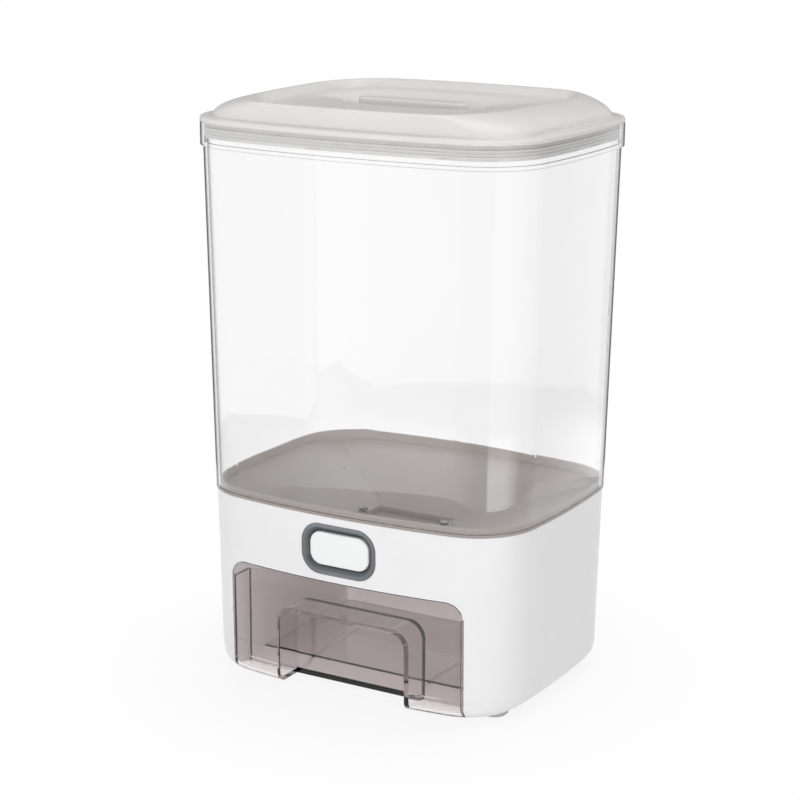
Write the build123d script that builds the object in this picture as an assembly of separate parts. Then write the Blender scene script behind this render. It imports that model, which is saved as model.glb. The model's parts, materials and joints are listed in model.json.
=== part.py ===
from build123d import *
import os
from math import hypot, radians, tan

# Rice dispenser with drawer: a clear tapered bin on a white base. A push button moves a spring-loaded gate
# under the smoked hopper floor, and the rice falls through a chute into the smoked drawer.
# Millimetres. +Z is up, the front faces -Y, and the origin is on the floor under the middle of the body.

# ---- body outline: a rounded rectangle with bowed sides, measured at the top of the base ----
half_width = 112.0
half_depth = 87.85
front_bow_radius = 534.0
side_bow_radius = 571.0
corner_radius = 40.3
side_draft = 0.02           # growth of the half width for each millimetre of height
front_draft = 0.0132        # growth of the half depth for each millimetre of height

# ---- heights ----
foot_height = 4.5
base_height = 116.0
bin_height = 214.5
collar_height = 14.2

# ---- base housing and base plate ----
base_wall = 2.6
front_edge_radius = 6.5     # rounding of the bottom edge at the front and the back
side_edge_radius = 12.0     # and at the sides and round the corners
edge_steps = (0.0, 0.05, 0.15, 0.32, 0.6, 1.0)
base_lip = 0.6              # soft edge along the top of the base
bottom_lip = 7.2            # width of the turned-in bottom edge
plate_thickness = 2.5
plate_gap = 0.3
post_x = 97.0
post_y = 39.0
post_diameter = 9.0
post_roof = 3.0
post_drop = 26.0            # from the top of the base down to the hopper's bosses
plate_post_y = 20.0
plate_post_height = 22.0
rib_thickness = 2.0
pocket_edge = 4.0
pocket_depth = 2.4

# ---- screws ----
screw_diameter = 2.8
screw_clearance = 0.4
bore_clearance = 0.1
screw_head_diameter = 5.6
screw_head_height = 2.0
screw_length = 10.0
head_clearance = 0.7
short_screw_length = 5.0

# ---- hopper ----
hopper_flange = 1.8
hopper_floor = 2.0
hopper_rim_height = 3.4
hopper_rim_wall = 1.8
outlet_width = 54.0
outlet_depth = 20.0
outlet_middle_y = -2.0
outlet_drop = 21.5          # from the top of the base down to the floor at the outlet
outlet_plate_thickness = 1.6
outlet_screw_lift = 1.3     # the slope beside the outlet carries the screw heads this much higher
outlet_screw_forward = 6.0  # from the middle of the outlet forwards to the screws beside it
bore_end = 2.0              # a screw's bore is this much deeper than the screw

# ---- bin collar and lid ----
bin_wall = 2.2
bin_proud = 0.7             # the bin and the hopper's edge stand this much over the base
collar_step = 1.8
collar_ledge = 2.2
lid_wall = 2.2
lid_flange = 3.0
lid_flange_edge = 1.5
lid_ledge = 7.4
crest_inset = 14.5
crest_height = 12.0
crest_land = 1.0
crest_round = 22.0          # the crest's corners are rounder than the lid's edge by this much
dome_steps = ((0.0, 0.0), (0.33, 0.12), (0.67, 0.36), (0.9, 0.66), (1.0, 1.0))
dish_inset = 29.5
dish_depth = 4.6
skirt_inset = 3.2
skirt_wall = 2.0
skirt_depth = 9.0
gasket_height = 4.6
gasket_lift = 1.6
gasket_gap = 0.15
gasket_lip = 0.8
gasket_lips = 3
bowl_length = 102.0
bowl_width = 46.0
bowl_depth = 11.0
bowl_slope = 9.0
bowl_edge = 5.0
grip_length = 75.0
grip_width = 12.0
grip_edge = 2.2
grip_end_flat = 0.1         # half of the straight part at each end of the grip
grip_top_rise = 2.0

# ---- drawer bay and drawer ----
bay_half_width = 83.0
bay_drop = 41.5             # from the top of the base down to the ceiling of the bay
bay_corner = 11.5
bay_back = 58.0
chassis_wall = 2.0
chassis_boss_diameter = 7.0
chassis_boss_height = 14.0
chassis_boss_overlap = 0.5
chassis_side_boss_y = 3.0
chassis_back_boss_x = 55.0
drawer_gap = 0.5
running_gap = 0.3
drawer_wall = 2.3
drawer_floor_top = 12.0
drawer_back = 54.6
drawer_back_height = 36.0
drawer_back_corner = 10.0
cup_half_width = 80.9
front_box_depth = 23.7
side_top_drop = 11.0        # from the top of the front panel down to the side walls
side_slope = 19.0           # degrees, the fall of the cup's side walls towards the back
recess_half_width = 45.0
recess_top = 53.5
recess_corner = 9.0
ramp_length = 16.0
runner_x = 42.5
runner_width = 2.0
runner_depth = 1.2

# ---- button, bezel, gate and chute ----
button_drop = 21.2          # from the top of the base down to the middle of the button
button_width = 41.6
button_height = 21.2
button_corner = 7.8
button_wall = 2.0
button_depth = 13.0
button_set_back = 0.8
button_edge = 1.2
button_clearance = 0.4
bezel_width = 52.2
bezel_height = 32.2
bezel_corner = 12.8
bezel_rim = 1.7
bezel_proud = 0.25
bezel_slope_depth = 3.6
bezel_depth = 9.0
bezel_flange = 1.8
bezel_flange_thickness = 1.6
hole_clearance = 0.15
stroke = 12.0
gate_thickness = 2.6
gate_edge = 5.0
gate_lap = 1.0
gate_corner = 2.0
neck_width = 18.0
frame_wall = 2.4
frame_floor = 2.0
frame_lead = 4.0
leg_diameter = 6.0
leg_inset = 2.0
spring_length = 26.0
spring_diameter = 7.0
spring_wire = 0.9
spring_gap = 0.1
spring_x = 18.0
pin_diameter = 4.6
pin_length = 5.0
chute_wall = 1.8
chute_length = 26.0
chute_narrowing = 4.0
chute_lead = 2.0
chute_flange = 4.0
chute_skin = 0.01           # the bore of the chute is cut this much past its ends

# ---- feet ----
foot_diameter = 17.0
foot_edge = 1.2
foot_x = 88.0
foot_y = 48.0

# ---- places that follow from the sizes above ----
base_bottom = foot_height
base_top = base_bottom + base_height
bay_top = base_top - bay_drop
button_z = base_top - button_drop
bin_bottom = base_top + hopper_flange
collar_bottom = bin_bottom + bin_height
collar_top = collar_bottom + collar_height
collar_grow = bin_proud + collar_step
flange_top = collar_top + lid_flange
crest_top = flange_top + crest_height
dish_top = crest_top - dish_depth
plate_top = base_bottom + plate_thickness
post_top = base_top - post_drop - plate_gap
plate_post_top = plate_top + plate_post_height
screw_hole = screw_diameter + screw_clearance
screw_bore = screw_diameter + bore_clearance
head_hole = screw_head_diameter + 2 * head_clearance
head_recess = screw_head_height / 2
rim_inset = bin_wall + plate_gap + hopper_rim_wall - bin_proud
outlet_top = base_top - outlet_drop
outlet_front = outlet_middle_y - outlet_depth / 2
outlet_back = outlet_middle_y + outlet_depth / 2
outlet_bottom = outlet_top - hopper_floor - outlet_plate_thickness
funnel_top = outlet_drop + 2 * hopper_rim_height + hopper_flange
gate_top = outlet_bottom - running_gap
gate_bottom = gate_top - gate_thickness
gate_middle = gate_bottom + gate_thickness / 2
gate_front = outlet_front - gate_lap - stroke - gate_edge
gate_back = outlet_back + gate_lap + gate_edge
frame_half = outlet_width / 2 + gate_edge + running_gap
frame_front = gate_front - frame_lead
frame_bottom = gate_bottom - running_gap - frame_floor
spring_front = gate_back + spring_gap
spring_back = spring_front + spring_length
plate_back = gate_back - gate_edge / 2
leg_x = frame_half - leg_inset
frame_legs = [(x, y) for x in (-leg_x, leg_x) for y in (frame_front + leg_diameter / 2, spring_back)]
outlet_screw_x = outlet_width / 2 + gate_edge / 2
outlet_screw_y = outlet_middle_y - outlet_screw_forward
outlet_screw_places = [(-outlet_screw_x, outlet_screw_y), (outlet_screw_x, outlet_screw_y)]
drawer_underside = drawer_floor_top - drawer_wall
platform_top = drawer_underside - running_gap
box_back = -half_depth + front_box_depth
side_top = bay_top - drawer_gap - side_top_drop
chassis_boss_stand = chassis_wall + chassis_boss_diameter / 2 - chassis_boss_overlap
chassis_boss_x = bay_half_width + chassis_boss_stand
chassis_boss_y = bay_back + chassis_boss_stand
chassis_bosses = [(-chassis_boss_x, chassis_side_boss_y), (chassis_boss_x, chassis_side_boss_y),
                  (-chassis_back_boss_x, chassis_boss_y), (chassis_back_boss_x, chassis_boss_y)]
chassis_boss_top = plate_top + chassis_boss_height
button_back = -half_depth + button_set_back + button_depth
button_inner_y = -half_depth + button_set_back + button_wall
bezel_back = -half_depth + bezel_depth
reach = 2 * half_width      # longer than any cut needs to be
past = 1.0                  # how far a cut runs on past the face that it opens


def corner_centre(a, b, front_radius, side_radius, radius):
    """Centre of the corner arc that touches the front arc and the side arc from inside."""
    front = (0.0, b - front_radius)
    side = (a - side_radius, 0.0)
    to_front = front_radius - radius
    to_side = side_radius - radius
    dx = side[0] - front[0]
    dy = side[1] - front[1]
    gap = hypot(dx, dy)
    along = (to_front ** 2 - to_side ** 2 + gap ** 2) / (2 * gap)
    off = (to_front ** 2 - along ** 2) ** 0.5
    foot_point = (front[0] + along * dx / gap, front[1] + along * dy / gap)
    return (foot_point[0] + off * abs(dy) / gap, foot_point[1] + off * abs(dx) / gap), front, side


def outline(z, grow=0.0, draft_z=None, rounder=0.0, front_grow=None):
    """The body's outline at height z, pushed out by grow.

    draft_z keeps the size of another height. rounder is added to the corner radius. front_grow pushes
    the front and the back by another length than the sides.
    """
    level = z if draft_z is None else draft_z
    a = half_width + side_draft * (level - base_top) + grow
    b = half_depth + front_draft * (level - base_top) + (grow if front_grow is None else front_grow)
    front_radius = front_bow_radius + grow
    side_radius = side_bow_radius + grow
    radius = corner_radius + grow + rounder
    c, front, side = corner_centre(a, b, front_radius, side_radius, radius)

    def touch(centre, arc_radius):
        dx = c[0] - centre[0]
        dy = c[1] - centre[1]
        length = hypot(dx, dy)
        return (centre[0] + arc_radius * dx / length, centre[1] + arc_radius * dy / length)

    p = touch(front, front_radius)
    q = touch(side, side_radius)
    mx = p[0] + q[0] - 2 * c[0]
    my = p[1] + q[1] - 2 * c[1]
    m = (c[0] + radius * mx / hypot(mx, my), c[1] + radius * my / hypot(mx, my))
    side_arcs = [((p[0], -p[1]), (m[0], -m[1]), (q[0], -q[1])), ((q[0], -q[1]), (a, 0.0), q), (q, m, p)]
    other_side = [tuple((-x, y) for x, y in reversed(stop)) for stop in reversed(side_arcs)]
    back_arc = (p, (0.0, b), (-p[0], p[1]))
    front_arc = ((-p[0], -p[1]), (0.0, -b), (p[0], -p[1]))
    stops = side_arcs + [back_arc] + other_side + [front_arc]
    arcs = [Edge.make_three_point_arc(*[(x, y, z) for x, y in stop]) for stop in stops]
    return Wire(arcs)


def body(z_low, z_high, grow=0.0):
    """The drafted body between two heights."""
    return Solid.make_loft([outline(z_low, grow), outline(z_high, grow)], ruled=True)


def straight(z_low, z_high, grow, draft_z):
    """An undrafted slab with the outline that the body has at draft_z."""
    return Solid.make_loft([outline(z_low, grow, draft_z), outline(z_high, grow, draft_z)], ruled=True)


def prism_y(sketch, y_front, y_back):
    """A sketch of x and z, carried from y_front back to y_back."""
    return extrude(Plane.XZ.offset(-y_back) * sketch, y_back - y_front)


def prism_x(points, half):
    """A closed line of y and z points, carried from -half to +half along X."""
    face = make_face(Polyline(*points, close=True))
    return extrude(Plane.YZ.offset(-half) * face, 2 * half)


def arch(half, z_low, z_high, radius):
    """A panel shape with two rounded top corners."""
    face = Pos(0, (z_low + z_high) / 2) * Rectangle(2 * half, z_high - z_low)
    return fillet(face.vertices().group_by(Axis.Y)[-1], radius)


def rod(x, y, z_low, z_high, diameter):
    """An upright rod."""
    return Pos(x, y, z_low) * extrude(Circle(diameter / 2), z_high - z_low)


def block(x0, x1, y0, y1, z0, z1):
    """A box between two corners."""
    return Pos((x0 + x1) / 2, (y0 + y1) / 2, (z0 + z1) / 2) * Box(x1 - x0, y1 - y0, z1 - z0)


def four(x, y):
    return [(x, y), (-x, y), (x, -y), (-x, -y)]


# ---- base -------------------------------------------------------------------------------------------

def rounded_foot(wall, z_high):
    """The body from the floor of the base up, inside its face by wall, with a rounded bottom edge."""
    side = side_edge_radius - wall
    front = front_edge_radius - wall
    bottom = base_bottom + wall

    def inset(radius, height):
        return radius - (radius ** 2 - max(radius - height, 0.0) ** 2) ** 0.5

    rings = []
    for step in edge_steps:
        height = step * side
        front_grow = -wall - inset(front, height)
        rings.append(outline(bottom + height, -wall - inset(side, height), front_grow=front_grow))
    return Part() + Solid.make_loft(rings) + body(bottom + side, z_high, -wall)


def base_envelope():
    """The outside of the base."""
    return rounded_foot(0.0, base_top)


def base_inside(wall):
    """The space inside a base wall, open at the top."""
    return rounded_foot(wall, base_top + past)


def make_base_housing():
    shell = Part() + base_envelope()
    shell = fillet(shell.edges().group_by(Axis.Z)[-1], base_lip)
    shell -= base_inside(base_wall)
    shell -= body(base_bottom - past, plate_top + base_wall, -bottom_lip)
    shell -= prism_y(arch(bay_half_width, -reach, bay_top, bay_corner), -reach, 0)
    hole = RectangleRounded(bezel_width + 2 * hole_clearance, bezel_height + 2 * hole_clearance,
                            bezel_corner + hole_clearance)
    shell -= prism_y(Pos(0, button_z) * hole, -reach, 0)
    inside = rounded_foot(base_wall / 2, base_top)
    for x, y in four(post_x, post_y):
        post = rod(x, y, plate_top, post_top, post_diameter)
        shell += (post_rib(x, y, post_top) & inside) + post
        shell -= rod(x, y, base_bottom, post_top - post_roof, head_hole)
        shell -= rod(x, y, base_bottom, post_top + past, screw_hole)
    for x, y in four(post_x, plate_post_y):
        post = rod(x, y, plate_top, plate_post_top, post_diameter)
        shell += (post_rib(x, y, plate_post_top) & inside) + post
        shell -= rod(x, y, base_bottom, plate_post_top - post_roof, screw_bore)
    return shell


def post_rib(x, y, top):
    """The web that ties a post to the side wall."""
    outer = reach if x > 0 else -reach
    return block(min(x, outer), max(x, outer), y - rib_thickness / 2, y + rib_thickness / 2, plate_top, top)


def platform_profile():
    """The raised floor under the drawer: y and z points, with the front slope under the drawer's ramp."""
    slope = (drawer_underside - base_bottom) / ramp_length
    toe = box_back + running_gap / slope
    heel = bay_back - plate_gap
    return [(toe, base_bottom), (box_back + ramp_length, platform_top),
            (heel, platform_top), (heel, base_bottom)]


def make_base_plate():
    plate = Part() + (body(base_bottom, plate_top, -bottom_lip - plate_gap) & base_envelope())
    plate -= block(-bay_half_width, bay_half_width, -reach, box_back + ramp_length, 0, reach)
    plate += prism_x(platform_profile(), bay_half_width - plate_gap)
    for side in (-1, 1):
        x = side * runner_x
        half = runner_width / 2 + running_gap
        bottom = platform_top - runner_depth - running_gap
        plate -= block(x - half, x + half, -reach, reach, bottom, reach)
    pocket_front = box_back + ramp_length + pocket_edge
    pocket_back = bay_back - pocket_edge
    inner = runner_x - pocket_edge
    middle = runner_x + pocket_edge
    outer = bay_half_width - pocket_edge
    half_rib = rib_thickness / 2
    for x0, x1 in ((-outer, -middle), (-inner, -half_rib), (half_rib, inner), (middle, outer)):
        plate -= block(x0, x1, pocket_front, pocket_back, 0, base_bottom + pocket_depth)
    for x, y in four(post_x, post_y):
        plate -= rod(x, y, 0, reach, head_hole)
    for x, y in four(post_x, plate_post_y) + chassis_bosses:
        plate -= rod(x, y, 0, reach, screw_hole)
        plate -= rod(x, y, 0, base_bottom + head_recess, head_hole)
    return plate


def make_chassis():
    """The liner round the drawer: two sides, a back and a ceiling, open to the front and the bottom."""
    outer = arch(bay_half_width + chassis_wall, plate_top, bay_top + chassis_wall, bay_corner + chassis_wall)
    liner = prism_y(outer, -reach, bay_back + chassis_wall)
    liner -= prism_y(arch(bay_half_width, -reach, bay_top, bay_corner), -reach, bay_back)
    liner &= base_inside(base_wall + plate_gap) + body(plate_top, base_top, -bottom_lip - plate_gap)
    half_x = outlet_width / 2 + chute_wall + plate_gap + chute_lead
    half_y = outlet_depth / 2 + chute_wall + plate_gap + chute_lead
    liner -= block(-half_x, half_x, outlet_middle_y - half_y, outlet_middle_y + half_y, bay_top - past, reach)
    for x, y in frame_legs:
        liner -= rod(x, y, bay_top - past, reach, screw_hole)
    for x, y in chassis_bosses:
        liner += rod(x, y, plate_top, chassis_boss_top, chassis_boss_diameter)
        liner -= rod(x, y, 0, chassis_boss_top - post_roof, screw_bore)
    return liner


def make_foot(x, y):
    pad = rod(x, y, 0, foot_height, foot_diameter)
    return chamfer(pad.edges().group_by(Axis.Z)[0], foot_edge)


def screw(x, y, head_bottom, length):
    """A pan-head screw pointing up, without its thread."""
    head = rod(x, y, head_bottom, head_bottom + screw_head_height, screw_head_diameter)
    head = chamfer(head.edges().group_by(Axis.Z)[0], screw_head_height / 4)
    shank_bottom = head_bottom + screw_head_height
    return head + rod(x, y, shank_bottom, shank_bottom + length, screw_diameter)


def screws_up(places, seat, length):
    """Screws with their heads pulled up against a seat."""
    return [screw(x, y, seat - screw_head_height, length) for x, y in places]


# ---- hopper -----------------------------------------------------------------------------------------

def funnel(drop=0.0):
    """The space above four slopes that fall to the outlet. It goes on upwards past the rim."""
    half_x = half_width - rim_inset
    half_y = half_depth - rim_inset
    rise = funnel_top / (base_top - outlet_top)
    corners = []
    for sx, sy in ((-1, -1), (1, -1), (1, 1), (-1, 1)):
        x0 = sx * outlet_width / 2
        y0 = outlet_middle_y + sy * outlet_depth / 2
        corners.append(((x0, y0), (x0 + rise * (sx * half_x - x0), y0 + rise * (sy * half_y - y0))))
    low = Wire.make_polygon([(c[0][0], c[0][1], outlet_top - drop) for c in corners])
    high = Wire.make_polygon([(c[1][0], c[1][1], outlet_top - drop + funnel_top) for c in corners])
    return Solid.make_loft([low, high], ruled=True)


def outlet_hole(z_low, z_high):
    half_x = outlet_width / 2
    half_y = outlet_depth / 2
    return block(-half_x, half_x, outlet_middle_y - half_y, outlet_middle_y + half_y, z_low, z_high)


def make_hopper():
    tray = body(outlet_top - 2 * hopper_floor, base_top, -base_wall - plate_gap) & funnel(hopper_floor)
    tray = Part() + tray + body(base_top, bin_bottom, bin_proud)
    tray += body(base_top, bin_bottom + hopper_rim_height, bin_proud - bin_wall - plate_gap)
    for x, y in four(post_x, post_y):
        tray += rod(x, y, base_top - post_drop, base_top, post_diameter)
    space = body(outlet_top - hopper_floor, bin_bottom + 2 * hopper_rim_height, -rim_inset) & funnel()
    tray -= space
    tray -= outlet_hole(outlet_top - 2 * hopper_floor, outlet_top + past)
    for x, y in four(post_x, post_y):
        tray -= rod(x, y, 0, base_top - post_drop + screw_length + bore_end, screw_bore)
    for x, y in outlet_screw_places:
        tray -= rod(x, y, 0, outlet_top + outlet_screw_lift + bore_end, screw_hole)
    return tray


def make_outlet_plate():
    """The flat plate under the hopper floor that the gate slides against."""
    half_x = frame_half + frame_wall
    plate_high = outlet_bottom + outlet_plate_thickness
    plate = block(-half_x, half_x, frame_front, plate_back, outlet_bottom, plate_high)
    plate -= outlet_hole(0, reach)
    for x, y in outlet_screw_places:
        plate -= rod(x, y, 0, reach, screw_bore)
    return plate


def make_outlet_screws():
    """Two short screws down through the hopper floor beside the outlet."""
    turned = [screw(x, y, 0, short_screw_length) for x, y in outlet_screw_places]
    seat = outlet_top + outlet_screw_lift
    return [Pos(0, 0, seat + screw_head_height) * mirror(s, Plane.XY) for s in turned]


# ---- gate and button --------------------------------------------------------------------------------

def make_gate():
    half = outlet_width / 2 + gate_edge
    window = outlet_front - gate_lap
    plate = block(-half, half, gate_front, gate_back, gate_bottom, gate_top)
    plate = fillet(plate.edges().filter_by(Axis.Z), gate_corner)
    plate -= block(-outlet_width / 2, outlet_width / 2, window - stroke, window, 0, reach)
    plate += block(-neck_width / 2, neck_width / 2, button_inner_y, gate_front, gate_bottom, gate_top)
    for x in (-spring_x, spring_x):
        plate += prism_y(Pos(x, gate_middle) * Circle(pin_diameter / 2), gate_back, gate_back + pin_length)
    return plate


def make_gate_frame():
    """The channel that carries the gate, open below the outlet, with the springs' back wall."""
    half = frame_half + frame_wall
    wall_back = spring_back + frame_wall
    frame = block(-half, half, frame_front, wall_back, frame_bottom, outlet_bottom)
    frame -= block(-frame_half, frame_half, -reach, spring_back, gate_bottom - running_gap, reach)
    frame += block(-half, half, spring_back, wall_back, frame_bottom, gate_top + spring_diameter / 2)
    frame -= outlet_hole(0, reach)
    for x in (-spring_x, spring_x):
        slot = spring_diameter / 2 + running_gap
        frame -= block(x - slot, x + slot, gate_back - past, spring_back, 0, gate_top)
        pin = Pos(x, gate_middle) * Circle(pin_diameter / 2)
        frame += prism_y(pin, spring_back - pin_length, spring_back)
    for x, y in frame_legs:
        frame += rod(x, y, bay_top + chassis_wall, frame_bottom, leg_diameter)
        frame -= rod(x, y, 0, frame_bottom - past, screw_bore)
    return frame


def make_spring(x):
    """The space that a return spring fills."""
    ring = Circle(spring_diameter / 2) - Circle(spring_diameter / 2 - spring_wire)
    return prism_y(Pos(x, gate_middle) * ring, spring_front, spring_back)


def make_chute():
    """The funnel that leads the rice down through the chassis ceiling."""
    top = (outlet_width / 2 + chute_lead, outlet_depth / 2 + chute_lead)
    bottom = (top[0] - chute_narrowing, top[1] - chute_narrowing)
    z_high = frame_bottom
    z_low = frame_bottom - chute_length

    def pyramid(grow, extra):
        def ring(half, z):
            x = half[0] + grow
            y = half[1] + grow
            m = outlet_middle_y
            return Wire.make_polygon([(-x, m - y, z), (x, m - y, z), (x, m + y, z), (-x, m + y, z)])
        return Solid.make_loft([ring(bottom, z_low - extra), ring(top, z_high + extra)], ruled=True)

    funnel_tube = Part() + pyramid(chute_wall, 0.0) - pyramid(0.0, chute_skin)
    half_x = frame_half
    flange_y = top[1] + chute_wall + chute_flange
    flange = block(-half_x, half_x, outlet_middle_y - flange_y, outlet_middle_y + flange_y,
                   z_high - chute_wall, z_high)
    flange -= block(-top[0], top[0], outlet_middle_y - top[1], outlet_middle_y + top[1], 0, reach)
    return funnel_tube + flange


def make_button():
    face = Pos(0, button_z) * RectangleRounded(button_width, button_height, button_corner)
    cap = prism_y(face, -reach, button_back) & body(base_bottom, base_top, -button_set_back)
    cap = fillet(cap.faces().sort_by(Axis.Y)[0].edges(), button_edge)
    inner_size = (button_width - 2 * button_wall, button_height - 2 * button_wall)
    inner = Pos(0, button_z) * RectangleRounded(*inner_size, button_corner - button_wall)
    cap -= prism_y(inner, button_inner_y, button_back + past)
    for z0, z1 in ((gate_top, gate_top + button_wall), (gate_bottom - button_wall, gate_bottom)):
        lug = block(-neck_width / 2, neck_width / 2, button_inner_y - past, button_back, z0, z1)
        cap += lug & prism_y(face, -reach, button_back)
    return cap


def make_bezel():
    face = Pos(0, button_z) * RectangleRounded(bezel_width, bezel_height, bezel_corner)
    ring = prism_y(face, -reach, bezel_back) & body(base_bottom, base_top, bezel_proud)
    back_size = (bezel_width + 2 * bezel_flange, bezel_height + 2 * bezel_flange)
    back = Pos(0, button_z) * RectangleRounded(*back_size, bezel_corner + bezel_flange)
    seat = base_wall + hole_clearance
    layer = body(base_bottom, base_top, -seat) - body(base_bottom, base_top, -seat - bezel_flange_thickness)
    ring += prism_y(back, -reach, bezel_back) & layer
    hole_size = (button_width + 2 * button_clearance, button_height + 2 * button_clearance)
    hole = RectangleRounded(*hole_size, button_corner + button_clearance)
    mouth_size = (bezel_width - 2 * bezel_rim, bezel_height - 2 * bezel_rim)
    mouth = RectangleRounded(*mouth_size, bezel_corner - bezel_rim)
    slope_front = -half_depth - bezel_proud
    slope_back = slope_front + bezel_slope_depth
    spot = Pos(0, button_z)
    wide = Plane.XZ.offset(-slope_front) * spot * mouth
    tight = Plane.XZ.offset(-slope_back) * spot * hole
    ring -= loft([wide, tight], ruled=True)
    ring -= prism_y(spot * mouth, -reach, slope_front)
    ring -= prism_y(spot * hole, -reach, 0)
    return ring


# ---- bin and lid ------------------------------------------------------------------------------------

def make_bin():
    tub = Part() + body(bin_bottom, collar_bottom, bin_proud)
    tub += collar_slab(collar_bottom, collar_top, 0.0)
    tub -= body(bin_bottom - past, collar_bottom + collar_ledge + past, bin_proud - bin_wall)
    tub -= collar_slab(collar_bottom + collar_ledge, collar_top + past, bin_wall)
    return tub


def collar_slab(z_low, z_high, inset):
    """A slab whose edge lies a given inset inside the collar's outer face."""
    return straight(z_low, z_high, collar_grow - inset, collar_bottom)


def lid_ring(z, inset, rounder):
    """A line on the lid: its height, its inset from the edge and how much rounder its corners are."""
    return outline(z, collar_grow - inset, collar_bottom, rounder)


def dome(shrink):
    """The lid's dome from its ledge up to the crest, drawn in by shrink."""
    rings = []
    for up, along in dome_steps:
        z = flange_top + up * crest_height - shrink
        inset = lid_ledge + along * (crest_inset - lid_ledge) + shrink
        rings.append(lid_ring(z, inset, along * crest_round))
    return Part() + Solid.make_loft(rings) + collar_slab(collar_top, flange_top - shrink, lid_ledge + shrink)


def dish(drop):
    """The space above the dish in the top of the dome. It goes on upwards past the crest."""
    start = crest_inset + crest_land
    beyond = (dish_inset - start) / 2
    high = lid_ring(crest_top + dish_depth / 2 - drop, start - beyond, crest_round * 3 / 2)
    low = lid_ring(dish_top - drop, dish_inset, 0.0)
    return Solid.make_loft([low, high], ruled=True)


def make_lid():
    flange = Part() + collar_slab(collar_top, flange_top, 0.0)
    flange = fillet(flange.edges().group_by(Axis.Z)[-1], lid_flange_edge)
    flange -= collar_slab(collar_top - past, flange_top + past, lid_ledge + lid_wall / 2)
    under = collar_slab(collar_top - past, collar_top + lid_flange / 2, lid_ledge + lid_wall)
    shell = flange + (dome(0.0) - dome(lid_wall) - under)
    shell += dish(lid_wall) & dome(0.0)
    shell -= dish(0.0)
    skirt = collar_slab(collar_top - skirt_depth, collar_top + past, skirt_inset)
    skirt -= collar_slab(collar_top - skirt_depth - past, collar_top + 2 * past, skirt_inset + skirt_wall)
    shell += skirt
    rim = Ellipse(bowl_length / 2, bowl_width / 2)
    floor = Ellipse(bowl_length / 2 - bowl_slope, bowl_width / 2 - bowl_slope)
    outer_rim = Ellipse(bowl_length / 2 + lid_wall, bowl_width / 2 + lid_wall)
    outer_floor = Ellipse(bowl_length / 2 - bowl_slope + lid_wall, bowl_width / 2 - bowl_slope + lid_wall)
    bowl_z = dish_top - bowl_depth
    shell += loft([Pos(0, 0, dish_top) * outer_rim, Pos(0, 0, bowl_z - lid_wall) * outer_floor], ruled=True)
    hollow = loft([Pos(0, 0, dish_top) * rim, Pos(0, 0, bowl_z) * floor], ruled=True)
    hollow = fillet(hollow.edges().group_by(Axis.Z)[0], bowl_edge)
    shell -= hollow
    grip_plan = RectangleRounded(grip_length, grip_width, grip_width / 2 - grip_end_flat)
    grip = Pos(0, 0, bowl_z - lid_wall) * extrude(grip_plan, bowl_depth + lid_wall + grip_top_rise)
    grip = fillet(grip.edges().group_by(Axis.Z)[-1], grip_edge)
    inner_width = grip_width - 2 * lid_wall
    core_plan = RectangleRounded(grip_length - 2 * lid_wall, inner_width, inner_width / 2 - grip_end_flat)
    core = Pos(0, 0, bowl_z - lid_wall) * extrude(core_plan, bowl_depth + grip_top_rise)
    return shell + grip - core


def make_lid_gasket():
    z_low = collar_top - skirt_depth + gasket_lift
    ring = collar_slab(z_low, z_low + gasket_height, bin_wall + gasket_gap + gasket_lip)
    for i in range(gasket_lips):
        lip_z = z_low + i * (gasket_height - gasket_lip) / (gasket_lips - 1)
        ring += collar_slab(lip_z, lip_z + gasket_lip, bin_wall + gasket_gap)
    return ring - collar_slab(z_low - past, z_low + gasket_height + past, skirt_inset)


# ---- drawer -----------------------------------------------------------------------------------------

def cup_outside():
    """The cup behind the front box, seen from the side: ramp, floor, back and sloping side walls."""
    top_front = box_back + drawer_wall
    slope_back = top_front + (side_top - drawer_back_height) / tan(radians(side_slope))
    points = [(box_back, base_bottom), (box_back + ramp_length, drawer_underside),
              (drawer_back, drawer_underside), (drawer_back, drawer_back_height),
              (slope_back, drawer_back_height), (top_front, side_top), (box_back, side_top)]
    shape = prism_x(points, cup_half_width)
    corners = shape.edges().filter_by(Axis.Z).group_by(Axis.Y)[-1]
    return fillet(corners, drawer_back_corner)


def cup_inside():
    slope = (drawer_underside - base_bottom) / ramp_length
    front = box_back - past
    back = drawer_back - drawer_wall
    points = [(front, base_bottom + drawer_wall - slope), (box_back + ramp_length, drawer_floor_top),
              (back, drawer_floor_top), (back, reach), (front, reach)]
    shape = prism_x(points, cup_half_width - drawer_wall)
    corners = shape.edges().filter_by(Axis.Z).group_by(Axis.Y)[-1]
    return fillet(corners, drawer_back_corner - drawer_wall)


def make_drawer():
    half = bay_half_width - drawer_gap
    top = bay_top - drawer_gap
    corner = bay_corner - drawer_gap
    front = base_envelope() & prism_y(arch(half, -reach, top, corner), -reach, box_back + drawer_wall)
    front &= block(-reach, reach, -reach, reach, 0, reach)
    front_block = front
    hollow = base_inside(drawer_wall)
    inner = half - drawer_wall
    front = Part() + front - (hollow & block(-inner, inner, -reach, box_back, 0, side_top))
    front -= hollow & block(-reach, reach, -reach, box_back + reach, side_top, reach)
    mouth = cup_inside()
    front -= mouth
    cup = Part() + cup_outside() - mouth
    floor_line = prism_x([(-reach, base_bottom), (box_back, base_bottom),
                          (box_back + ramp_length, drawer_underside), (reach, drawer_underside),
                          (reach, reach), (-reach, reach)], reach)
    wall = drawer_wall
    arch_block = prism_y(arch(recess_half_width + wall, -reach, recess_top + wall, recess_corner + wall),
                         -reach, box_back + wall)
    arch_block &= front_block
    drawer = front + cup + arch_block
    drawer &= floor_line
    drawer -= prism_y(arch(recess_half_width, -reach, recess_top, recess_corner), -reach, box_back)
    for x in (-runner_x, runner_x):
        drawer += block(x - runner_width / 2, x + runner_width / 2, box_back + ramp_length + past,
                        drawer_back - drawer_back_corner, drawer_underside - runner_depth, drawer_underside)
    return drawer


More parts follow.
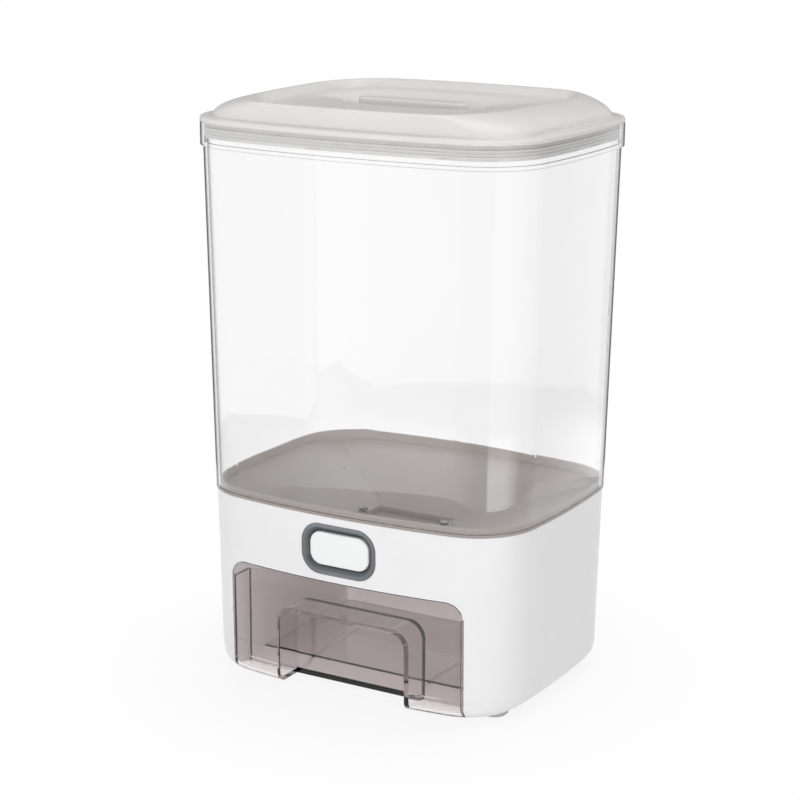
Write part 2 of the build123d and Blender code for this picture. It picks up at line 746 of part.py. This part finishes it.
# ---- all pieces -------------------------------------------------------------------------------------

parts = {
    "base_housing": make_base_housing,
    "base_plate": make_base_plate,
    "drawer_bay_chassis": make_chassis,
    "hopper": make_hopper,
    "outlet_plate": make_outlet_plate,
    "gate_slide": make_gate,
    "gate_frame": make_gate_frame,
    "gate_spring_left": lambda: make_spring(-spring_x),
    "gate_spring_right": lambda: make_spring(spring_x),
    "chute": make_chute,
    "button": make_button,
    "button_bezel": make_bezel,
    "bin": make_bin,
    "lid": make_lid,
    "lid_gasket": make_lid_gasket,
    "drawer": make_drawer,
    "foot_front_left": lambda: make_foot(-foot_x, -foot_y),
    "foot_front_right": lambda: make_foot(foot_x, -foot_y),
    "foot_rear_left": lambda: make_foot(-foot_x, foot_y),
    "foot_rear_right": lambda: make_foot(foot_x, foot_y),
    "hopper_screws": lambda: screws_up(four(post_x, post_y), post_top - post_roof, screw_length),
    "plate_screws": lambda: screws_up(four(post_x, plate_post_y), base_bottom + head_recess, screw_length),
    "chassis_screws": lambda: screws_up(chassis_bosses, base_bottom + head_recess, screw_length),
    "frame_screws": lambda: screws_up(frame_legs, bay_top, short_screw_length),
    "outlet_screws": make_outlet_screws,
}

os.makedirs("parts", exist_ok=True)
for name, make in parts.items():
    shape = make()
    solids = shape if isinstance(shape, list) else [shape]
    piece = Compound(children=[Solid(s.solid().wrapped) for s in solids], label=name)
    export_step(piece, f"parts/{name}.step")
    print(name, round(sum(s.volume for s in solids), 1))
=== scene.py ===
import json
import math

import bmesh
import bpy
from mathutils import Matrix, Vector


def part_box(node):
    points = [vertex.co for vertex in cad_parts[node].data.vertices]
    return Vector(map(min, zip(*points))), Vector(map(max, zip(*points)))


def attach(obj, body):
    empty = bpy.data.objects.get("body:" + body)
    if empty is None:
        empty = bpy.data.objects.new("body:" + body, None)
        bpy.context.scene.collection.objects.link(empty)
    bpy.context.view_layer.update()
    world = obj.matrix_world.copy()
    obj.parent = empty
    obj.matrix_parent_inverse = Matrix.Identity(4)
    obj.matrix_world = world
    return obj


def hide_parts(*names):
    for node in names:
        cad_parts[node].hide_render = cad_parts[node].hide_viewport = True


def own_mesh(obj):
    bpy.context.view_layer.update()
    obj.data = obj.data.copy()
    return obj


# Rice dispenser with drawer: materials for the CAD nodes, the lid's pillow dome, wound return springs, a
# plain studio and the photograph's camera. Lengths are in metres, in the CAD's frame: +Z up, front at -Y.

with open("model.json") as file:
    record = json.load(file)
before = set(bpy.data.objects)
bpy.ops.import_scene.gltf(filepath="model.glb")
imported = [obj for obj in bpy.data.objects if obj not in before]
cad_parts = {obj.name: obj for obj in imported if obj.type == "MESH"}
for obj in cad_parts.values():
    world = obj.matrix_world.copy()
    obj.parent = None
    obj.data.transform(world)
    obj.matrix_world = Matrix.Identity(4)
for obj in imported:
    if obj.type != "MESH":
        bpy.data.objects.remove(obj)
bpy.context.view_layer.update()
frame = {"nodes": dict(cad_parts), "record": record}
nodes = frame["nodes"]

# ---- node helpers -----------------------------------------------------------------------------------

white = (1.0, 1.0, 1.0)
noise_low = 0.3                  # most of a noise lies between these
noise_high = 0.7


def new_material(name):
    """A material whose node tree holds nothing but its output."""
    material = bpy.data.materials.new(name)
    material.use_nodes = True
    tree = material.node_tree
    tree.nodes.clear()
    out = tree.nodes.new("ShaderNodeOutputMaterial")
    return material, tree, out


def add(tree, kind, **settings):
    n = tree.nodes.new(kind)
    for key, value in settings.items():
        setattr(n, key, value)
    return n


def feed(tree, n, sources):
    """Sets the sockets of a node. The output of another node is linked, anything else is a constant."""
    for socket, source in sources.items():
        if isinstance(source, bpy.types.NodeSocket):
            tree.links.new(source, n.inputs[socket])
        else:
            n.inputs[socket].default_value = source


def object_place(tree):
    return tree.nodes.new("ShaderNodeTexCoord").outputs["Object"]


def object_axes(tree):
    """The sockets X, Y and Z of the place in the object."""
    parts = tree.nodes.new("ShaderNodeSeparateXYZ")
    feed(tree, parts, {0: object_place(tree)})
    return parts.outputs


def noise(tree, scale, detail):
    """A 3-D noise in object space, scale in features per metre."""
    n = tree.nodes.new("ShaderNodeTexNoise")
    feed(tree, n, {"Vector": object_place(tree), "Scale": scale, "Detail": detail, "Roughness": 0.5})
    return n.outputs["Fac"]


def ramp(tree, fac, stops):
    r = tree.nodes.new("ShaderNodeValToRGB")
    while len(r.color_ramp.elements) < len(stops):
        r.color_ramp.elements.new(0.5)
    for element, (place, colour) in zip(r.color_ramp.elements, stops):
        element.position = place
        element.color = (*colour, 1.0)
    feed(tree, r, {"Fac": fac})
    return r.outputs["Color"]


def map_range(tree, value, from_low, from_high, to_low=0.0, to_high=1.0, kind="LINEAR"):
    r = add(tree, "ShaderNodeMapRange", interpolation_type=kind)
    feed(tree, r, {
        "Value": value,
        "From Min": from_low,
        "From Max": from_high,
        "To Min": to_low,
        "To Max": to_high,
    })
    return r.outputs["Result"]


def spread(tree, fac, low, high):
    """Carries 0 to 1 over to low to high."""
    return map_range(tree, fac, 0.0, 1.0, low, high)


def arithmetic(tree, operation, first, second):
    n = add(tree, "ShaderNodeMath", operation=operation)
    feed(tree, n, {0: first, 1: second})
    return n.outputs[0]


def mix_colours(tree, share, first, second, blend_type="MIX"):
    n = add(tree, "ShaderNodeMix", data_type="RGBA", blend_type=blend_type)
    feed(tree, n, {"Factor": share, "A": first, "B": second})
    return n.outputs["Result"]


def mix_shaders(tree, share, first, second):
    n = tree.nodes.new("ShaderNodeMixShader")
    feed(tree, n, {0: share, 1: first, 2: second})
    return n.outputs[0]


def bump(tree, height, distance):
    b = tree.nodes.new("ShaderNodeBump")
    feed(tree, b, {"Height": height, "Distance": distance, "Strength": 1.0})
    return b.outputs["Normal"]


def shade(colour, amount):
    return tuple(min(1.0, c * amount) for c in colour)


def clouds(tree, colour, scale, detail, dark, light):
    """Soft clouds between two shades of a colour."""
    stops = [(noise_low, shade(colour, dark)), (noise_high, shade(colour, light))]
    return ramp(tree, noise(tree, scale, detail), stops)


# ---- kinds of material ------------------------------------------------------------------------------

# Features per metre of each noise.
cloud_scale = 14.0
gloss_scale = 60.0
skin_scale = 900.0
clear_cloud_scale = 9.0
clear_gloss_scale = 40.0
metal_cloud_scale = 300.0
metal_gloss_scale = 800.0

skin_height = 0.00004
gloss_swing = 0.03               # how far the roughness wanders to either side
metal_swing = 0.06
coat_rough = 0.12
plastic_ior = 1.49

# See-through plastic: where its colour square on ends and its colour at a slant begins.
face_to = 0.1
side_from = 0.6

# The bezel's depth, from its rim back to the gap round the button, over which its painted shade darkens.
bezel_rim_y = -0.0882
bezel_gap_y = -0.0842


def moulded(name, paint, rough, spec, coat):
    """Opaque plastic with a fine skin and uneven gloss. paint(tree) makes its colour."""
    material, tree, out = new_material(name)
    p = tree.nodes.new("ShaderNodeBsdfPrincipled")
    gloss = noise(tree, gloss_scale, 2.0)
    feed(tree, p, {
        "Base Color": paint(tree),
        "Roughness": spread(tree, gloss, rough - gloss_swing, rough + gloss_swing),
        "Normal": bump(tree, noise(tree, skin_scale, 2.0), skin_height),
        "Specular IOR Level": spec,
        "Coat Weight": coat,
        "Coat Roughness": coat_rough,
    })
    feed(tree, out, {"Surface": p.outputs[0]})
    return material


def plastic(name, colour, rough, spec=0.5, coat=0.0):
    """Moulded plastic of one colour with faint clouds."""

    def paint(tree):
        return clouds(tree, colour, cloud_scale, 4.0, 0.985, 1.015)

    return moulded(name, paint, rough, spec, coat)


def bezel_plastic_with_painted_shade(name, rim, shaded_slope, painted_gap_shade):
    """Plastic with painted shade: it gets darker from the rim back to the gap round the button, as if shade
    fell deeper into the recess.
    """
    # Painted shade: the inner slope and the gap round the button are coloured darker where shade would
    # fall.
    stops = [(0.1, rim), (0.3, shaded_slope), (0.75, shade(shaded_slope, 0.8)), (0.95, painted_gap_shade)]

    def paint(tree):
        return ramp(tree, map_range(tree, object_axes(tree)["Y"], bezel_rim_y, bezel_gap_y), stops)

    return moulded(name, paint, 0.34, 0.5, 0.1)


def metal(name, colour, rough):
    material, tree, out = new_material(name)
    p = tree.nodes.new("ShaderNodeBsdfPrincipled")
    gloss = noise(tree, metal_gloss_scale, 2.0)
    feed(tree, p, {
        "Metallic": 1.0,
        "Base Color": clouds(tree, colour, metal_cloud_scale, 3.0, 0.9, 1.05),
        "Roughness": spread(tree, gloss, rough - metal_swing, rough + metal_swing),
    })
    feed(tree, out, {"Surface": p.outputs[0]})
    return material


def lit_through(tree, shader, tint):
    """Lamps and soft light pass through the plastic, dimmed by its tint."""
    path = tree.nodes.new("ShaderNodeLightPath")
    passing = arithmetic(tree, "MAXIMUM", path.outputs["Is Shadow Ray"], path.outputs["Is Diffuse Ray"])
    clear = tree.nodes.new("ShaderNodeBsdfTransparent")
    feed(tree, clear, {"Color": (*tint, 1.0)})
    return mix_shaders(tree, passing, shader, clear.outputs[0])


def absorption(tree, per_metre):
    """Light lost inside the wall, per metre in red, green and blue."""
    inside = tree.nodes.new("ShaderNodeVolumeAbsorption")
    most = max(per_metre)
    feed(tree, inside, {"Density": most, "Color": (*[1 - a / most for a in per_metre], 1.0)})
    return inside.outputs[0]


def clear_plastic(name, face, side, edge_shade, start, end, rough, light_tint, absorb=None, through=1.0):
    """See-through moulded plastic with two colours of its own, square on (face) and at a slant (side), and
    a painted dark edge along it (edge_shade), standing in for the dark surroundings seen through the wall's
    edges.

    The painted edge shade takes over from start to end, with 0 for square on and 1 for along the wall.
    The share called through is see-through, and the rest is opaque."""
    material, tree, out = new_material(name)
    p = tree.nodes.new("ShaderNodeBsdfPrincipled")
    layer = tree.nodes.new("ShaderNodeLayerWeight")
    feed(tree, layer, {"Blend": 0.5})
    facing = layer.outputs["Facing"]
    # Painted shade: towards grazing the wall turns to its near-black edge colour and stops letting light
    # through, standing in for dark surroundings seen through the edge.
    grazing = map_range(tree, facing, start, end, kind="SMOOTHSTEP")
    slant = ramp(tree, facing, [(face_to, face), (side_from, side)])
    cloud = clouds(tree, white, clear_cloud_scale, 3.0, 0.985, 1.0)
    wall = mix_colours(tree, 1.0, slant, cloud, "MULTIPLY")
    feed(tree, p, {
        "Base Color": mix_colours(tree, grazing, wall, (*edge_shade, 1.0)),
        "Transmission Weight": spread(tree, grazing, through, 0.0),
        "Specular IOR Level": spread(tree, grazing, 0.5, 0.1),
        "Roughness": spread(tree, noise(tree, clear_gloss_scale, 2.0), rough * 0.7, rough * 1.3),
        "IOR": plastic_ior,
    })
    feed(tree, out, {"Surface": lit_through(tree, p.outputs[0], light_tint)})
    if absorb:
        feed(tree, out, {"Volume": absorption(tree, absorb)})
    return material


# ---- materials --------------------------------------------------------------------------------------

mats = {
    "white_body": plastic("white_body", (0.80, 0.792, 0.802), 0.30, coat=0.15),
    "white_inner": plastic("white_inner", (0.94, 0.925, 0.915), 0.42, 0.4),
    "white_lid": plastic("white_lid", (0.715, 0.705, 0.69), 0.36, 0.45, 0.1),
    "button_white": plastic("button_white", (0.83, 0.84, 0.84), 0.26, coat=0.2),
    # The bezel's slope and gap colours are painted shade; only its rim colour is its own.
    "grey_bezel": bezel_plastic_with_painted_shade(
        "grey_bezel", rim=(0.17, 0.187, 0.195), shaded_slope=(0.095, 0.108, 0.117), painted_gap_shade=(0.02, 0.022, 0.025)),
    # The edge colours of the see-through plastics are painted shade along their edges.
    "clear_plastic": clear_plastic(
        "clear_plastic", face=(0.992, 0.99, 0.992), side=(0.92, 0.912, 0.918), edge_shade=(0.02, 0.017, 0.024),
        start=0.67, end=0.84, rough=0.012, light_tint=(0.98, 0.98, 0.98)),
    "smoked_plastic": clear_plastic(
        "smoked_plastic", face=(0.945, 0.918, 0.925), side=(0.925, 0.895, 0.903), edge_shade=(0.08, 0.05, 0.08),
        start=0.86, end=0.98, rough=0.02, light_tint=(1.0, 0.99, 0.99), absorb=(4.0, 6.5, 6.0)),
    "gasket_rubber": plastic("gasket_rubber", (0.66, 0.655, 0.65), 0.5, 0.3),
    "foot_rubber": plastic("foot_rubber", (0.50, 0.50, 0.51), 0.6, 0.3),
    "spring_steel": metal("spring_steel", (0.62, 0.62, 0.63), 0.3),
    "screw_steel": metal("screw_steel", (0.30, 0.29, 0.29), 0.4),
}
# The hopper and what closes it show what lies under them only dimly.
# Its edge colour is painted shade, like that of the other see-through plastics.
hopper_smoke = clear_plastic(
    "smoked_hopper", face=(0.49, 0.445, 0.42), side=(0.49, 0.445, 0.425), edge_shade=(0.10, 0.07, 0.08),
    start=0.86, end=0.99, rough=0.32, light_tint=(0.86, 0.83, 0.81), through=0.5)
hopper_nodes = ("hopper", "outlet_plate", "gate_slide")

slot_of = {s["node"]: s["material_slot"] for s in frame["record"]["subparts"]}
for name, obj in nodes.items():
    obj.data.materials.clear()
    obj.data.materials.append(hopper_smoke if name in hopper_nodes else mats[slot_of[name]])


def new_object(name, data):
    obj = bpy.data.objects.new(name, data)
    bpy.context.scene.collection.objects.link(obj)
    return obj


def finished_mesh(name, bm, material):
    mesh = bpy.data.meshes.new(name)
    bm.to_mesh(mesh)
    bm.free()
    mesh.materials.append(material)
    return mesh


# ---- the lid's dome ---------------------------------------------------------------------------------

dome_foot_z = 0.354              # the lid's ledge, where the dome starts
lid_wall = 0.0022
dome_height = 0.012
ends_in = 0.0159                 # how far the crest moves in at the left and right ends
faces_out = 0.0054               # how far it moves out at the front and back
slope_power = 2.5                # the slopes move little at their foot and most at the crest
corner_skew = 0.3                # the front corners of the crest are rounder than the rear ones
front_hold = 0.6                 # the front moves out less towards its corners, by this share
bowl_reach = (0.055, 0.027)      # nothing nearer to the middle than this moves
crest_reach = (0.1044, 0.0782)
merge_gap = 0.00001
sharp_angle = math.radians(32)


def share_between(value, low, high):
    return min(1.0, max(0.0, (value - low) / (high - low)))


def dome_move(v):
    """How far a vertex of the dome moves in along X and out along Y. None below the dome."""
    x, y, z = v.co
    foot = dome_foot_z if v.normal.z > 0 else dome_foot_z - lid_wall
    level = min(1.0, max(0.0, (z - foot) / dome_height))
    if level == 0.0:
        return None
    in_dish = (v.normal.x * x + v.normal.y * y) * v.normal.z < 0
    weight = 1.0 if in_dish else level ** slope_power
    to_end = share_between(abs(x), bowl_reach[0], crest_reach[0])
    to_face = share_between(abs(y), bowl_reach[1], crest_reach[1])
    rounder = 1 - corner_skew * y / crest_reach[1]
    fuller = 1 - front_hold * to_end if y < 0 else 1.0
    move_in = math.copysign(ends_in * weight * to_end * rounder, x)
    move_out = math.copysign(faces_out * weight * to_face * fuller, y)
    return move_in, move_out


def pillow_lid():
    """The lid with long gentle slopes at its ends and steep ones at the front and back."""
    mesh = nodes["lid"].data.copy()
    bm = bmesh.new()
    bm.from_mesh(mesh)
    bmesh.ops.remove_doubles(bm, verts=bm.verts, dist=merge_gap)
    bm.normal_update()
    moves = [(v, dome_move(v)) for v in bm.verts]
    for v, move in moves:
        if move:
            v.co.x -= move[0]
            v.co.y += move[1]
    bm.to_mesh(mesh)
    bm.free()
    mesh.shade_smooth()
    mesh.set_sharp_from_angle(angle=sharp_angle)
    mesh.materials.clear()
    mesh.materials.append(mats["white_lid"])
    piece = new_object("lid_shell", mesh)
    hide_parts("lid")
    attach(piece, "lid_body")


pillow_lid()

# ---- return springs ---------------------------------------------------------------------------------

spring_turns = 10
closed_pitch = 0.00095           # of the closed turn at each end
wire_radius = 0.00045
steps_per_turn = 20
wire_sides = 8


def wire_ring(bm, centre, outwards, sideways):
    ring = []
    for k in range(wire_sides):
        angle = 2 * math.pi * k / wire_sides
        reach = outwards * math.cos(angle) + sideways * math.sin(angle)
        ring.append(bm.verts.new(centre + reach * wire_radius))
    return ring


def coil(bm, middle, coil_radius, front, back):
    """A wire wound round Y from front to back, with a closed turn at each end and capped tips."""
    open_turns = spring_turns - 2
    open_pitch = (back - front - 2 * closed_pitch) / open_turns
    climb = open_pitch / (2 * math.pi * coil_radius)
    rings = []
    for k in range(spring_turns * steps_per_turn + 1):
        turns = k / steps_per_turn
        opened = min(max(turns - 1, 0), open_turns)
        y = front + closed_pitch * (turns - opened) + open_pitch * opened
        angle = 2 * math.pi * turns
        outwards = Vector((math.cos(angle), 0, math.sin(angle)))
        along = Vector((-math.sin(angle), climb, math.cos(angle))).normalized()
        centre = Vector((middle.x, y, middle.z)) + outwards * coil_radius
        rings.append(wire_ring(bm, centre, outwards, along.cross(outwards)))
    for a, b in zip(rings, rings[1:]):
        for k in range(wire_sides):
            n = (k + 1) % wire_sides
            bm.faces.new((a[k], a[n], b[n], b[k]))
    bm.faces.new(rings[0][::-1])
    bm.faces.new(rings[-1])
    bmesh.ops.recalc_face_normals(bm, faces=bm.faces)


def coil_spring(name, cad_node):
    """A wound compression spring in its CAD space, shortened by the button."""
    low, high = [Vector(c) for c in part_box(cad_node)]
    middle = (low + high) / 2
    bm = bmesh.new()
    coil(bm, middle, (high.x - low.x) / 2 - wire_radius, low.y + wire_radius, high.y - wire_radius)
    mesh = finished_mesh(name, bm, mats["spring_steel"])
    mesh.shade_smooth()
    piece = new_object(name, mesh)
    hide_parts(cad_node)
    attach(piece, "dispenser")
    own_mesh(piece)


coil_spring("return_spring_left", "gate_spring_left")
coil_spring("return_spring_right", "gate_spring_right")

# ---- studio -----------------------------------------------------------------------------------------

floor_radius = 4.0
floor_grey = 0.9
floor_own_light = 0.86           # the share of plain white in the floor under the object
shadow_from = 0.10               # the shadow fades out from here to there
shadow_to = 0.25
round_steps = 96

ring_radius = 0.5
ring_foot_z = 0.001
ring_top_z = 0.6
lower_to_z = 0.03                # the lower glow fades into the upper one from here to there
upper_from_z = 0.07
# What the reflections see round the object: direction in degrees from +X, brightness.
upper_glow = [(-180, 1.0), (-150, 1.35), (-120, 1.3), (-104, 0.85), (-84, 0.15), (-45, 0.1), (-41, 0.8),
              (-18, 0.7), (4, 0.1), (40, 0.1), (52, 0.5), (62, 1.0), (74, 0.85), (90, 0.2), (108, 0.18),
              (135, 0.18), (158, 0.4), (180, 1.0)]
lower_glow = [(-180, 0.9), (-150, 0.9), (-130, 1.6), (-112, 3.0), (-98, 3.3), (-84, 2.8), (-60, 1.6),
              (-45, 1.3), (-41, 6.4), (-18, 5.6), (4, 0.6), (40, 0.4), (52, 1.2), (62, 1.8), (74, 1.0),
              (90, 0.2), (108, 0.2), (135, 0.2), (158, 0.6), (180, 0.9)]


def seen(tree):
    """1 for what the camera sees directly, in a reflection or through clear plastic."""
    path = tree.nodes.new("ShaderNodeLightPath").outputs
    straight = arithmetic(tree, "MAXIMUM", path["Is Camera Ray"], path["Is Glossy Ray"])
    return arithmetic(tree, "MAXIMUM", straight, path["Is Transmission Ray"])


def glow(tree, kind, strength):
    """A plain white Emission or Background shader."""
    n = tree.nodes.new(kind)
    feed(tree, n, {"Color": (*white, 1.0), "Strength": strength})
    return n.outputs[0]


def make_world(light):
    """Soft light on the object, and plain white for what the camera sees of it."""
    world = bpy.data.worlds.new("studio")
    bpy.context.scene.world = world
    world.use_nodes = True
    tree = world.node_tree
    tree.nodes.clear()
    out = tree.nodes.new("ShaderNodeOutputWorld")
    dim = glow(tree, "ShaderNodeBackground", light)
    plain = glow(tree, "ShaderNodeBackground", 1.0)
    feed(tree, out, {"Surface": mix_shaders(tree, seen(tree), dim, plain)})


def floor_material():
    """A white floor that keeps a soft shadow near the object and goes to plain white further out."""
    material, tree, out = new_material("floor_white")
    diffuse = tree.nodes.new("ShaderNodeBsdfDiffuse")
    feed(tree, diffuse, {"Color": (*shade(white, floor_grey), 1.0)})
    from_middle = add(tree, "ShaderNodeVectorMath", operation="LENGTH")
    feed(tree, from_middle, {0: tree.nodes.new("ShaderNodeNewGeometry").outputs["Position"]})
    distance = from_middle.outputs["Value"]
    far = map_range(tree, distance, shadow_from, shadow_to, floor_own_light, 1.0, "SMOOTHSTEP")
    share = arithmetic(tree, "MULTIPLY", seen(tree), far)
    plain = glow(tree, "ShaderNodeEmission", 1.0)
    feed(tree, out, {"Surface": mix_shaders(tree, share, diffuse.outputs[0], plain)})
    return material


def make_floor():
    bm = bmesh.new()
    bmesh.ops.create_circle(bm, cap_ends=True, segments=round_steps, radius=floor_radius)
    obj = new_object("floor", finished_mesh("floor", bm, floor_material()))


def lamp(name, place, aim, size_x, size_y, power, mirrored=True):
    """A soft box. Where mirrored is off, it lights the object but no reflection shows it."""
    data = bpy.data.lights.new(name, "AREA")
    data.shape = "RECTANGLE"
    data.size = size_x
    data.size_y = size_y
    data.energy = power
    obj = new_object(name, data)
    obj.visible_glossy = mirrored
    obj.visible_transmission = mirrored
    obj.location = place
    obj.rotation_euler = (Vector(aim) - Vector(place)).to_track_quat("-Z", "Y").to_euler()


def reflector_material():
    """Bands of light and dark by direction, one set near the floor and one above it."""
    material, tree, out = new_material("reflector")
    axes = object_axes(tree)
    angle = arithmetic(tree, "ARCTAN2", axes["Y"], axes["X"])
    turn_share = map_range(tree, angle, -math.pi, math.pi)
    brightest = max(v for _, v in upper_glow + lower_glow)
    bands = []
    for stops in (lower_glow, upper_glow):
        colours = [((d + 180) / 360, shade(white, v / brightest)) for d, v in stops]
        bands.append(ramp(tree, turn_share, colours))
    rise = map_range(tree, axes["Z"], lower_to_z, upper_from_z, kind="SMOOTHSTEP")
    light = tree.nodes.new("ShaderNodeEmission")
    feed(tree, light, {"Strength": brightest, "Color": mix_colours(tree, rise, bands[0], bands[1])})
    feed(tree, out, {"Surface": light.outputs[0]})
    material.cycles.emission_sampling = "NONE"
    return material


def make_reflector():
    """A ring of studio wall that only reflections see."""
    bm = bmesh.new()
    posts = []
    for k in range(round_steps):
        angle = 2 * math.pi * k / round_steps
        x, y = ring_radius * math.cos(angle), ring_radius * math.sin(angle)
        posts.append([bm.verts.new((x, y, z)) for z in (ring_foot_z, ring_top_z)])
    for k in range(round_steps):
        a, b = posts[k], posts[(k + 1) % round_steps]
        bm.faces.new((a[0], b[0], b[1], a[1]))
    obj = new_object("reflector", finished_mesh("reflector", bm, reflector_material()))
    obj.visible_camera = False
    obj.visible_diffuse = False
    obj.visible_transmission = False
    obj.visible_shadow = False


make_world(0.55)
make_floor()
lamp("key", (-0.9, -1.9, 0.75), (0, 0, 0.12), 1.0, 1.2, 2.5, mirrored=False)
lamp("front", (0.35, -1.9, 0.3), (0, 0, 0.06), 0.8, 0.5, 12, mirrored=False)
lamp("side", (2.0, -0.5, 0.9), (0, 0, 0.15), 1.0, 1.4, 5)
lamp("top", (0.2, 0.3, 2.2), (0, 0, 0.2), 1.6, 1.6, 14)
make_reflector()

# ---- camera -----------------------------------------------------------------------------------------

# Solved from the straight edges and the corners of the body in the photograph.
turn = 0.5268
tilt = 0.253
roll = 0.0053
distance = 1.3326
aim_height = 0.17482
aim_left = 0.00683
lens = 95.23

forward = Vector((-math.sin(turn) * math.cos(tilt), math.cos(turn) * math.cos(tilt), -math.sin(tilt)))
right = Vector((math.cos(turn), math.sin(turn), 0))
up = right.cross(forward)
across = right * math.cos(roll) + up * math.sin(roll)
above = up * math.cos(roll) - right * math.sin(roll)
place = Vector((0, 0, aim_height)) - forward * distance - right * aim_left

camera_data = bpy.data.cameras.new("camera")
camera_data.lens = lens
camera_data.sensor_width = 36.0
camera_data.clip_end = 100.0
camera = new_object("camera", camera_data)
camera.matrix_world = Matrix((
    (across.x, above.x, -forward.x, place.x),
    (across.y, above.y, -forward.y, place.y),
    (across.z, above.z, -forward.z, place.z),
    (0, 0, 0, 1),
))
bpy.context.scene.camera = camera
bpy.context.scene.view_settings.view_transform = "Standard"
